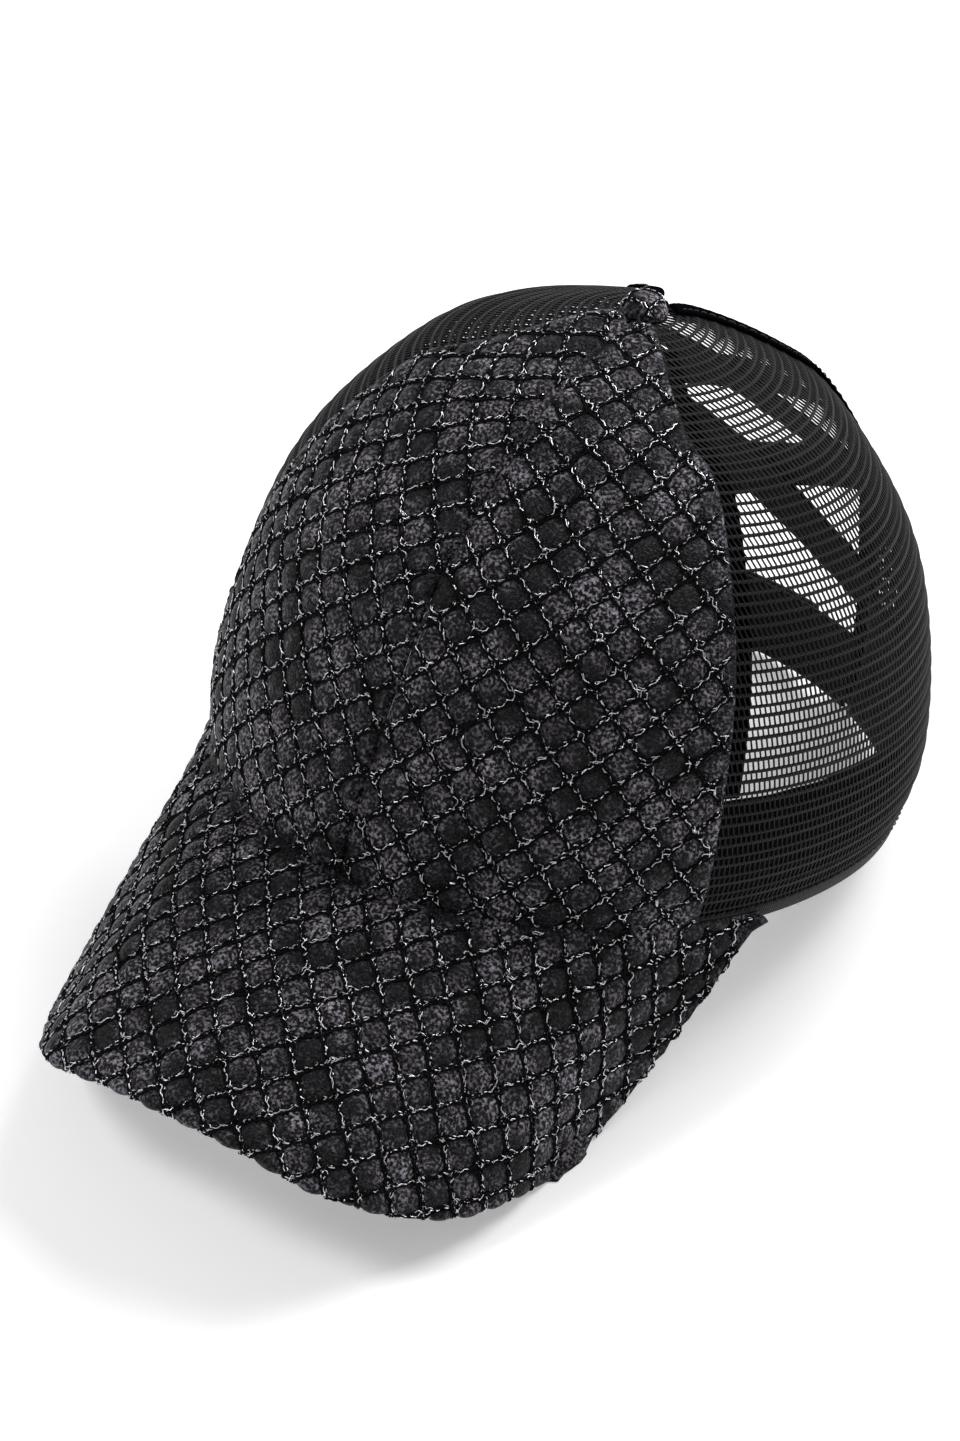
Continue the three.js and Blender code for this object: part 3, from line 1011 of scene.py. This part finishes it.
def peak_flat(u, v):
    """Where the place (u, v) of the peak lies on its flat cover."""
    cloth = peak_cloth()
    column = min(int(u * PEAK_COLUMNS), PEAK_COLUMNS - 1)
    row = min(int(v * PEAK_ROWS), PEAK_ROWS - 1)
    across, below = u * PEAK_COLUMNS - column, v * PEAK_ROWS - row
    near = mix(cloth[row, column], cloth[row, column + 1], across)
    far = mix(cloth[row + 1, column], cloth[row + 1, column + 1], across)
    return Vector(mix(near, far, below))


@lru_cache(maxsize=None)
def peak_patches():
    """The flat cover's triangles for finding places, each with its corners as (u, v)."""
    cloth = peak_cloth()
    spots = [Vector((*cloth[place], 0)) for place in PEAK_PLACES]
    places = [Vector((column / PEAK_COLUMNS, row / PEAK_ROWS, 0)) for row, column in PEAK_PLACES]
    patches = []
    for row in range(PEAK_ROWS):
        for column in range(PEAK_COLUMNS):
            near = row * (PEAK_COLUMNS + 1) + column
            far = near + PEAK_COLUMNS + 1
            patches += [(near, near + 1, far + 1), (near, far + 1, far)]
    return BVHTree.FromPolygons(spots, patches), patches, spots, places


def peak_lay(across, up):
    """The peak's place (u, v) under a place of its flat cover, and how far past the cover that is."""
    tree, patches, spots, places = peak_patches()
    spot, _, index, distance = tree.find_nearest(Vector((across, up, 0)))
    flat, solid = ([table[corner] for corner in patches[index]] for table in (spots, places))
    place = barycentric_transform(spot, *flat, *solid)
    return min(max(place.x, 0), 1), min(max(place.y, 0), 1), distance


def blunt_end(u):
    """How much of the way to the edge is left near the peak's ends, where the corners are rounded off."""
    return 1 - PEAK_BLUNT * ease((abs(2 * u - 1) - PEAK_BLUNT_FROM) / (1 - PEAK_BLUNT_FROM))


class CAP_OT_peak(bpy.types.Operator):
    """The covered peak: quilted leather on top and round its edge, plain leather below."""

    bl_idname = "cap.peak"
    bl_label = "Peak"

    def execute(self, context):
        leather, net = context.scene.cap_leather, context.scene.cap_net
        top_rows, edge_rows, under_rows = 62, 8, 26
        rows = top_rows + edge_rows + under_rows
        round_edge = math.pi * PEAK_WALL / 2
        seam_side, end_side, off_floor = 0.03, 0.006, 0.5 * MM

        def place(u, v):
            row = round(v * rows)
            share = min(row / top_rows, 1) * blunt_end(u)
            beyond = round_edge * min(max((row - top_rows) / edge_rows, 0), 1)
            back = max((row - top_rows - edge_rows) / under_rows, 0)
            spot = peak_flat(u, share)
            if beyond:
                outwards = (peak_flat(u, 1) - peak_flat(u, 0.93)).normalized()
                spot += outwards * (beyond + back * PEAK_REACH)
            out = quilted(*spot, leather, net) * ease(12 * share) * ease(1 - 6 * back)
            if back:
                # the underside is glued to its board, and swells less
                under, normal, _ = peak_frame(u, (1 - back) * share)
                return under - normal * (PEAK_WALL + 0.3 * out), spot
            return peak_at(u, beyond, share, out - CLOTH_SINK)[0], spot

        columns = 3 * PEAK_COLUMNS
        cover = laid_grid(columns, rows, place)
        row_of = {vertex: vertex.index // (columns + 1) for vertex in cover.verts}
        seam = [edge for edge in cover.edges if {row_of[vertex] for vertex in edge.verts} in ({0}, {rows})]
        bmesh.ops.bridge_loops(cover, edges=seam)
        bmesh.ops.holes_fill(cover, edges=[edge for edge in cover.edges if edge.is_boundary])
        bmesh.ops.triangulate(cover, faces=[face for face in cover.faces if len(face.verts) > 4])
        bmesh.ops.recalc_face_normals(cover, faces=cover.faces[:])
        finish_piece("leather_peak", cover, crackled_faux_leather(), ["peak"])

        def lay(across, up, lift):
            u, v, beyond = peak_lay(across, up)
            off_top = not seam_side < v <= blunt_end(u) or not end_side < u < 1 - end_side
            if off_top or beyond > 0.8 * round_edge:
                return None
            point, normal = peak_at(u, beyond, v, net.height - CLOTH_SINK + lift)
            return (point, normal) if (SETTLE @ point).z > off_floor else None

        net_piece("net_peak", net, PEAK_NET_REACH, lay)
        return {"FINISHED"}


def button_lift(reach):
    """The covered button's height over the crown's top at a distance from its axis."""
    flat = min(reach / BUTTON_RADIUS, 1) ** (1 / BUTTON_FULLNESS)
    return CROWN_HEIGHT + BUTTON_SEAT + BUTTON_HEIGHT * math.sqrt(1 - flat ** 2)


class CAP_OT_button(bpy.types.Operator):
    """The covered button with one cell of the net on top."""

    bl_idname = "cap.button"
    bl_label = "Top button"

    def execute(self, context):
        net = context.scene.cap_net
        dome = bmesh.new()
        outline = [(0, -SHANK_LENGTH), (SHANK_RADIUS, -SHANK_LENGTH), (SHANK_RADIUS, BUTTON_SEAT)]
        for step in range(BUTTON_STEPS + 1):
            turn = math.pi / 2 * step / BUTTON_STEPS
            reach = BUTTON_RADIUS * math.cos(turn) ** BUTTON_FULLNESS
            outline.append((reach, BUTTON_SEAT + BUTTON_HEIGHT * math.sin(turn)))
        profile = [dome.verts.new((reach, TOP_OFFSET, CROWN_HEIGHT + rise)) for reach, rise in outline]
        edges = [dome.edges.new(pair) for pair in zip(profile, profile[1:])]
        bmesh.ops.spin(dome, geom=profile + edges, cent=(0, TOP_OFFSET, 0), axis=(0, 0, 1),
                       angle=2 * math.pi, steps=48, use_merge=True)
        bmesh.ops.remove_doubles(dome, verts=dome.verts[:], dist=JOIN)
        bmesh.ops.recalc_face_normals(dome, faces=dome.faces[:])
        finish_piece("leather_button", dome, crackled_faux_leather(), ["top_button"])
        strings = []
        half_cell, stride, lift = 0.42 * net.cell, 0.24 * MM, 0.1 * MM
        heart = Vector((0, TOP_OFFSET, CROWN_HEIGHT - 2 * MM))
        for number, (turned, away) in enumerate(((0, 1), (0, -1), (1, 1), (1, -1))):
            run = []
            for step in range(-30, 31):
                travelled, fixed = step * stride, away * half_cell
                spot = (travelled, fixed) if turned else (fixed, travelled)
                reach = math.hypot(*spot)
                if reach <= BUTTON_RADIUS * 0.99:
                    point = Vector((spot[0], spot[1] + TOP_OFFSET, button_lift(reach) + lift))
                    run.append((point, (point - heart).normalized(), 0))
            strings += band(run, 1, net, number)
        finish_piece("net_button", strands("net_button", strings), lurex_yarn())
        return {"FINISHED"}


# How high a stitch stands over the cloth, in mm, at shares of its length.
STITCH_RISE = ((0, -0.3), (0.15, 0.1), (0.5, 0.25), (0.85, 0.1), (1, -0.3))


def stitches(trim, place, length, skip=0.0):
    """Stitches along a path of a length, laid by place(travelled), which gives a point and a normal."""
    runs = []
    travelled = skip
    while travelled + trim.stitch < length - skip:
        points = []
        for share, rise in STITCH_RISE:
            point, normal = place(travelled + share * trim.stitch)
            points.append(point + normal * rise * MM)
        runs.append((points, trim.thread))
        travelled += trim.stitch + trim.stitch_gap
    return runs


class CAP_OT_stitching(bpy.types.Operator):
    """The rows of stitches beside the seams, round the rim and along the bindings."""

    bl_idname = "cap.stitching"
    bl_label = "Stitching"

    def execute(self, context):
        scene = context.scene
        trim, leather, net = scene.cap_trim, scene.cap_leather, scene.cap_net
        beside_seam, above_rim, below_edge, past_fold = 5 * MM, 4.5 * MM, 3 * MM, 1.3 * MM
        thread = sewing_thread()
        climb = climb_lengths(FRONT_SEAM_ANGLE)
        rim = share_at(above_rim)
        rim_round = round_lengths(rim)
        top = binding_top()

        def on_leather(angle, share):
            return crown_spot(angle, share, leather_out(*front_place(angle, share), leather, net))

        def seam_row(travelled):
            share = interpolate(travelled, climb, EVEN)
            seam = front_seam(share)
            return on_leather(seam - turn_for(beside_seam, seam, share), share)

        def rim_row(travelled):
            angle = math.pi * interpolate(travelled, rim_round, EVEN)
            if angle < front_edges(rim)[1]:
                return on_leather(max(angle, 0.01), rim)
            return crown_spot(angle, rim, 0.1 * MM)

        def binding_row(travelled, inner):
            share = min(travelled / climb[-1], 1) * top
            far = SEAM_GAP + BINDING_WALL
            edge = opening_edge(share)
            out = -MESH_WALL - far if inner else far
            normal = crown_normal(edge, share) * (-1 if inner else 1)
            return binding_point(past_fold - BINDING_LEG, out, share), normal

        rim_end = interpolate(opening_edge(rim) / math.pi, EVEN, rim_round)
        for word, side in SIDES.items():
            runs = stitches(trim, seam_row, climb[-1], 9 * MM)
            runs += stitches(trim, rim_row, rim_end - BINDING_LEG, 1 * MM)
            for inner in (False, True):
                runs += stitches(trim, lambda way: binding_row(way, inner), climb[-1], 2 * MM)
            name = f"stitches_{word}"
            finish_piece(name, strands(name, runs), thread, side=side)
        runs = []
        for side, layer in ((-1, 0), (1, 1)):
            tab = tab_place(side, layer)
            length = TAB_START + TAB_OVERLAP
            for row in (0.11, 0.89):
                def tab_row(travelled):
                    return tab(travelled / length, row)[0], Vector((0, 1, 0))

                runs += stitches(trim, tab_row, length, 2 * MM)
        height = share_at(SWEATBAND_HEIGHT - below_edge)
        band_round = round_lengths(height)
        for side in (-1, 1):
            def band_row(travelled):
                angle = side * math.pi * interpolate(travelled, band_round, EVEN)
                point, normal = crown_spot(angle, height, -SWEATBAND_DEPTH - SWEATBAND_WALL)
                return point, -normal

            runs += stitches(trim, band_row, rim_end - 12 * MM, 1 * MM)
        finish_piece("stitches_inner", strands("stitches_inner", runs), thread)
        return {"FINISHED"}


class Nodes:
    """A material's nodes. An input is given a value, or another node's output, which is linked into it."""

    def __init__(self, material):
        self.tree = material.node_tree

    def fill(self, node, inputs):
        for socket, value in inputs.items():
            if isinstance(value, bpy.types.NodeSocket):
                self.tree.links.new(value, node.inputs[socket])
            else:
                node.inputs[socket].default_value = value

    def add(self, kind, output, inputs, **attributes):
        """A new node with its attributes and inputs. It gives one of the node's outputs."""
        node = self.tree.nodes.new("ShaderNode" + kind)
        for name, value in attributes.items():
            setattr(node, name, value)
        self.fill(node, inputs)
        return node.outputs[output]

    def shade(self, inputs):
        self.fill(self.tree.nodes["Principled BSDF"], inputs)

    def spot(self):
        return self.add("TexCoord", "Object", {})

    def cloth(self):
        return self.add("UVMap", "UV", {}, uv_map="cloth")

    def cloud(self, where, scale, detail, roughness=0.5, output="Fac"):
        inputs = {"Vector": where, "Scale": scale, "Detail": detail, "Roughness": roughness}
        return self.add("TexNoise", output, inputs)

    def waves(self, where, period, direction, distortion=0.0):
        """Bands of a period in metres."""
        inputs = {"Vector": where, "Scale": 2 * math.pi / (20 * period), "Distortion": distortion}
        return self.add("TexWave", "Fac", inputs, bands_direction=direction)

    def spread(self, value, low=0.0, high=1.0, start=0.0, end=1.0, kind="LINEAR"):
        """What is between low and high, spread from start to end."""
        inputs = {"Value": value, "From Min": low, "From Max": high, "To Min": start, "To Max": end}
        return self.add("MapRange", "Result", inputs, interpolation_type=kind)

    def combine(self, operation, first, second):
        return self.add("Math", 0, {0: first, 1: second}, operation=operation)

    def blend(self, share, first, second):
        inputs = {0: share, 6: (*first, 1), 7: (*second, 1)}
        return self.add("Mix", 2, inputs, data_type="RGBA")

    def bump(self, height, strength, distance):
        return self.add("Bump", 0, {"Height": height, "Strength": strength, "Distance": distance})


def named_material(name):
    """Lets a function that fills in a material's nodes give the material, made only once."""
    def wrap(fill_in):
        def give():
            material = bpy.data.materials.get(name)
            if not material:
                material = bpy.data.materials.new(name)
                material.use_nodes = True
                fill_in(Nodes(material))
            return material
        return give
    return wrap


@named_material("crackled_faux_leather")
def crackled_faux_leather(nodes):
    # Polyurethane coated on cloth: wrinkled flakes break its gloss into glints. A grey painted sheen lies on
    # the flakes in random patches.
    leather = bpy.context.scene.cap_leather
    spot = nodes.spot()
    wrinkles = nodes.cloud(spot, 0.55 / leather.crackle, 2.0, output="Color")
    pull = nodes.add("VectorMath", 0, {0: wrinkles, "Scale": 1.6 * leather.crackle}, operation="SCALE")
    pulled = nodes.add("VectorMath", 0, {0: spot, 1: pull}, operation="ADD")
    flakes = {"Vector": pulled, "Scale": 1 / leather.crackle}
    raised = nodes.spread(
        nodes.add("TexVoronoi", "Distance", flakes, feature="DISTANCE_TO_EDGE"), high=0.3, kind="SMOOTHSTEP")
    grain = nodes.cloud(spot, 1.2 / leather.crackle, 3.0)
    # Painted sheen: grey put into the base colour on the flakes within random patches.
    shiny = nodes.spread(nodes.cloud(spot, 1 / leather.patch, 4.0, 0.62), 0.42, 0.66, 0.05)
    sheen_flakes = nodes.spread(grain, 0.47, 0.66)
    painted_sheen = nodes.combine("MULTIPLY", shiny, sheen_flakes)
    nodes.shade({
        "IOR": 1.5,
        "Specular IOR Level": 0.15,
        "Base Color": nodes.blend(painted_sheen, leather.colour, leather.painted_sheen_colour),
        "Roughness": nodes.spread(raised, start=0.52, end=0.34),
        "Normal": nodes.bump(nodes.combine("ADD", raised, grain), 1.0, 0.26 * MM),
    })


@named_material("lurex_yarn")
def lurex_yarn(nodes):
    # Black spun yarn wound with a slit metallised film: hard silver dashes on soft matt black.
    net = bpy.context.scene.cap_net
    spot = nodes.spot()
    torn = nodes.spread(nodes.cloud(spot, 1 / (1.3 * MM), 1.0), 0.5, 0.54)
    shown = nodes.combine("MULTIPLY", torn, nodes.add("Attribute", "Fac", {}, attribute_name="film"))
    nodes.shade({
        "Specular IOR Level": 0.12,
        "Base Color": nodes.blend(shown, net.colour, net.silver),
        "Roughness": nodes.spread(shown, start=0.9, end=0.3),
        "Metallic": shown,
        "Normal": nodes.bump(nodes.cloud(spot, 1 / (0.25 * MM), 2.0), 0.6, 0.1 * MM),
    })


@named_material("polyester_trucker_mesh")
def trucker_mesh(nodes):
    # Warp-knitted polyester, heat-set. Painted light: the ribs' soft grey light is put into their colour,
    # which fades to the bars' dark round the slots and is under half on the low ribs.
    knit = bpy.context.scene.cap_mesh
    rib = nodes.add("Attribute", "Fac", {}, attribute_name="rib")
    nodes.shade({
        "Roughness": 0.6,
        "Specular IOR Level": 0.15,
        "Sheen Weight": 0.04,
        "Sheen Roughness": 0.5,
        "Base Color": nodes.blend(rib, knit.colour, knit.painted_rib_light),
        "Normal": nodes.bump(nodes.waves(nodes.cloth(), knit.pitch / 2, "X", 1.5), 0.8, 0.25 * MM),
    })


def woven_cloth(nodes, colour, period, direction, roughness, sheen, gloss):
    """Plain dyed cloth with ridges of a period, on the piece's own cloth map."""
    cloth = nodes.cloth()
    ridges = nodes.waves(cloth, period, direction, 0.6)
    relief = nodes.combine("ADD", ridges, nodes.waves(cloth, 0.6 * period, "X"))
    faded = tuple(min(1.0, 1.7 * channel) for channel in colour)
    nodes.shade({
        "Roughness": roughness,
        "Specular IOR Level": gloss,
        "Sheen Weight": sheen,
        "Sheen Roughness": 0.4,
        "Base Color": nodes.blend(nodes.cloud(cloth, 60.0, 3.0), colour, faded),
        "Normal": nodes.bump(relief, 0.5, 0.12 * MM),
    })


@named_material("polyester_twill_tape")
def twill_tape(nodes):
    # Narrow polyester twill, pressed flat: fully matt, the darkest cloth of the cap.
    trim = bpy.context.scene.cap_trim
    woven_cloth(nodes, trim.tape_colour, trim.twill, "DIAGONAL", 0.7, 0.0, 0.0)


@named_material("knitted_elastic_webbing")
def webbing(nodes):
    # Knitted elastic: ribs across its width, matt.
    trim = bpy.context.scene.cap_trim
    woven_cloth(nodes, trim.strap_colour, trim.webbing, "Y", 0.7, 0.1, 0.06)


@named_material("brushed_cotton_twill")
def cotton_twill(nodes):
    # Brushed cotton twill: soft and matt.
    trim = bpy.context.scene.cap_trim
    woven_cloth(nodes, trim.band_colour, trim.twill, "DIAGONAL", 0.85, 0.2, 0.06)


@named_material("bonded_sewing_thread")
def sewing_thread(nodes):
    # Bonded polyester thread: a thin dull gloss along each stitch.
    nodes.shade({
        "Base Color": (*bpy.context.scene.cap_trim.thread_colour, 1),
        "Roughness": 0.5,
        "Specular IOR Level": 0.25,
        "Normal": nodes.bump(nodes.cloud(nodes.spot(), 1 / (0.4 * MM), 1.0), 0.5, 0.05 * MM),
    })


@named_material("opal_acrylic")
def lit_acrylic(nodes):
    # Opal acrylic table lit from below: white, with only faint shadows on it.
    stage = bpy.context.scene.cap_stage
    shade = tuple(0.985 * channel for channel in stage.floor_colour)
    nodes.shade({
        "Roughness": 0.9,
        "Specular IOR Level": 0.2,
        "Emission Color": (1, 1, 1, 1),
        "Emission Strength": stage.floor_glow,
        "Base Color": nodes.blend(nodes.cloud(nodes.spot(), 9.0, 2.0), shade, stage.floor_colour),
    })


def aim(thing, place, target, roll=0.0):
    """Puts a light or camera at a place and turns it to look at a target."""
    look = (target - place).to_track_quat("-Z", "Y").to_matrix().to_4x4()
    thing.matrix_world = Matrix.Translation(place) @ look @ Matrix.Rotation(roll, 4, "Z")
    bpy.context.scene.collection.objects.link(thing)


def soft_light(name, place, width, power):
    light = bpy.data.lights.new(name, "AREA")
    light.shape = "SQUARE"
    light.size = width
    light.energy = power
    aim(bpy.data.objects.new(name, light), Vector(place), VIEW_TARGET)


class CAP_OT_stage(bpy.types.Operator):
    """The pale floor, the soft light and the camera."""

    bl_idname = "cap.stage"
    bl_label = "Stage"

    def execute(self, context):
        stage = context.scene.cap_stage
        sweep = bmesh.new()
        bmesh.ops.create_grid(sweep, x_segments=4, y_segments=4, size=stage.floor)
        data = bpy.data.meshes.new("acrylic_floor")
        sweep.to_mesh(data)
        sweep.free()
        data.materials.append(lit_acrylic())
        floor = bpy.data.objects.new("acrylic_floor", data)
        context.scene.collection.objects.link(floor)

        world = bpy.data.worlds.new("white_studio")
        world.use_nodes = True
        sky = world.node_tree.nodes["Background"]
        sky.inputs["Color"].default_value = (1, 1, 1, 1)
        sky.inputs["Strength"].default_value = stage.daylight
        context.scene.world = world
        soft_light("key_softbox", (-1.1, -0.7, 1.6), 0.55, stage.key)
        soft_light("back_softbox", (0.4, 1.5, 1.4), 1.3, stage.back)
        context.scene.view_settings.view_transform = "Standard"

        camera_data = bpy.data.cameras.new("photo_view")
        camera_data.lens = VIEW_LENS_MM
        camera_data.sensor_fit = "VERTICAL"
        camera_data.sensor_height = VIEW_SENSOR_MM
        camera_data.clip_end = 20
        camera = bpy.data.objects.new("photo_view", camera_data)
        away = Vector((
            math.sin(VIEW_AZIMUTH) * math.cos(VIEW_ELEVATION),
            -math.cos(VIEW_AZIMUTH) * math.cos(VIEW_ELEVATION),
            math.sin(VIEW_ELEVATION),
        ))
        aim(camera, VIEW_TARGET + VIEW_DISTANCE * away, VIEW_TARGET, VIEW_ROLL)
        context.scene.camera = camera
        return {"FINISHED"}


OPERATORS = (
    CAP_OT_front_panels,
    CAP_OT_front_net,
    CAP_OT_mesh_panels,
    CAP_OT_seam_tapes,
    CAP_OT_bindings,
    CAP_OT_straps,
    CAP_OT_closure,
    CAP_OT_sweatband,
    CAP_OT_peak,
    CAP_OT_button,
    CAP_OT_stitching,
    CAP_OT_stage,
)

SETTINGS = {
    "cap_leather": CAP_PG_leather,
    "cap_net": CAP_PG_net,
    "cap_mesh": CAP_PG_mesh,
    "cap_trim": CAP_PG_trim,
    "cap_stage": CAP_PG_stage,
}


class CAP_PT_panel(bpy.types.Panel):
    """Lists the cap's pieces, sizes and colours."""

    bl_idname = "CAP_PT_panel"
    bl_label = "Ponytail cap"
    bl_space_type = "VIEW_3D"
    bl_region_type = "UI"
    bl_category = "Cap"

    def draw(self, context):
        layout = self.layout
        for name, group in SETTINGS.items():
            box = layout.box()
            for prop in group.__annotations__:
                box.prop(getattr(context.scene, name), prop)
        for operator in OPERATORS:
            layout.operator(operator.bl_idname)


def register():
    for group in SETTINGS.values():
        bpy.utils.register_class(group)
    for name, group in SETTINGS.items():
        setattr(bpy.types.Scene, name, PointerProperty(type=group))
    for operator in OPERATORS:
        bpy.utils.register_class(operator)
    bpy.utils.register_class(CAP_PT_panel)


def unregister():
    bpy.utils.unregister_class(CAP_PT_panel)
    for operator in reversed(OPERATORS):
        bpy.utils.unregister_class(operator)
    for name, group in SETTINGS.items():
        delattr(bpy.types.Scene, name)
        bpy.utils.unregister_class(group)


def main():
    register()
    bpy.ops.cap.front_panels()
    bpy.ops.cap.front_net()
    bpy.ops.cap.mesh_panels()
    bpy.ops.cap.seam_tapes()
    bpy.ops.cap.bindings()
    bpy.ops.cap.straps()
    bpy.ops.cap.closure()
    bpy.ops.cap.sweatband()
    bpy.ops.cap.peak()
    bpy.ops.cap.button()
    bpy.ops.cap.stitching()
    bpy.ops.cap.stage()


if __name__ == "__main__":
    main()
